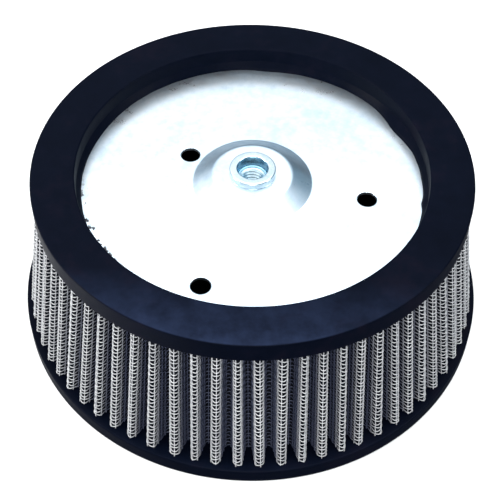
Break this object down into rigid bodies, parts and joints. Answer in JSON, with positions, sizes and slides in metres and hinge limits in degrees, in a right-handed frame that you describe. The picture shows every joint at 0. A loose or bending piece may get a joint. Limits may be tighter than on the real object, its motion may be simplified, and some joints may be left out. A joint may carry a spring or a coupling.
{
  "type": "motorcycle air filter",
  "caption": "Round tapered pleated air filter: woven-wire pleats between two moulded end rings, with a recessed steel end plate and a threaded centre nut.",
  "frame": {"origin": "on the filter's axis, at the middle of the base ring's sealing face", "axes": "+Z along the filter's axis, from the base ring to the recessed end plate; -Y is the side seen from the front"},
  "size_m": [0.168, 0.168, 0.0657],
  "materials": {
    "urethane": "satin moulded",
    "zinc_plate": "bright zinc plated",
    "zinc_nut": "blue zinc plated",
    "screen_wire": "bright coated wire",
    "gauze": "woven, oiled",
    "seam_strip": "folded strip"
  },
  "bodies": {
    "root": {"top_end_ring": "urethane", "base_end_ring": "urethane", "end_plate": "zinc_plate", "cover_nut": "zinc_nut", "outer_screen": "screen_wire", "inner_screen": "screen_wire", "seam_clip": "seam_strip", "gauze_ply_1": "gauze", "gauze_ply_2": "gauze", "gauze_ply_3": "gauze", "gauze_ply_4": "gauze"}
  },
  "joints": []
}
